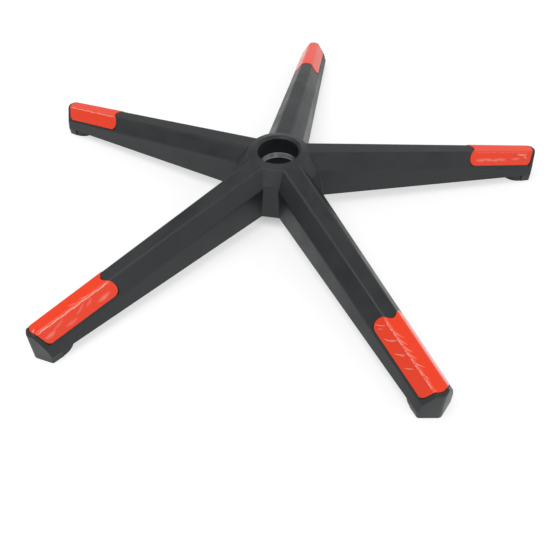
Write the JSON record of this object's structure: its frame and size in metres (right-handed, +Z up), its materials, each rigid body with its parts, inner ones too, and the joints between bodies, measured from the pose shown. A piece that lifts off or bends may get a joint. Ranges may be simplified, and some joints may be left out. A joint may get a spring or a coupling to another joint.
{
  "type": "chair base",
  "caption": "Star-shaped moulded chair base with a hub bore for a gas lift, tapered legs with open ribbed undersides, stem sockets in the feet and glossy clip-on trim covers.",
  "frame": {"origin": "on the hub's axis, in the plane of the rim of the gas lift bore", "axes": "+Z up along the hub's axis, +Y along the first leg, which points to the back in the picture"},
  "size_m": [0.665, 0.6359, 0.0749],
  "materials": {
    "moulded_nylon": "fine satin grain",
    "sleeve_metal": "bare, turned",
    "trim_gloss": "gloss, under thin clear film"
  },
  "bodies": {
    "root": {"star_base": "moulded_nylon", "lift_sleeve": "sleeve_metal", "trim_cover_1": "trim_gloss", "trim_cover_2": "trim_gloss", "trim_cover_3": "trim_gloss", "trim_cover_4": "trim_gloss", "trim_cover_5": "trim_gloss"}
  },
  "joints": []
}
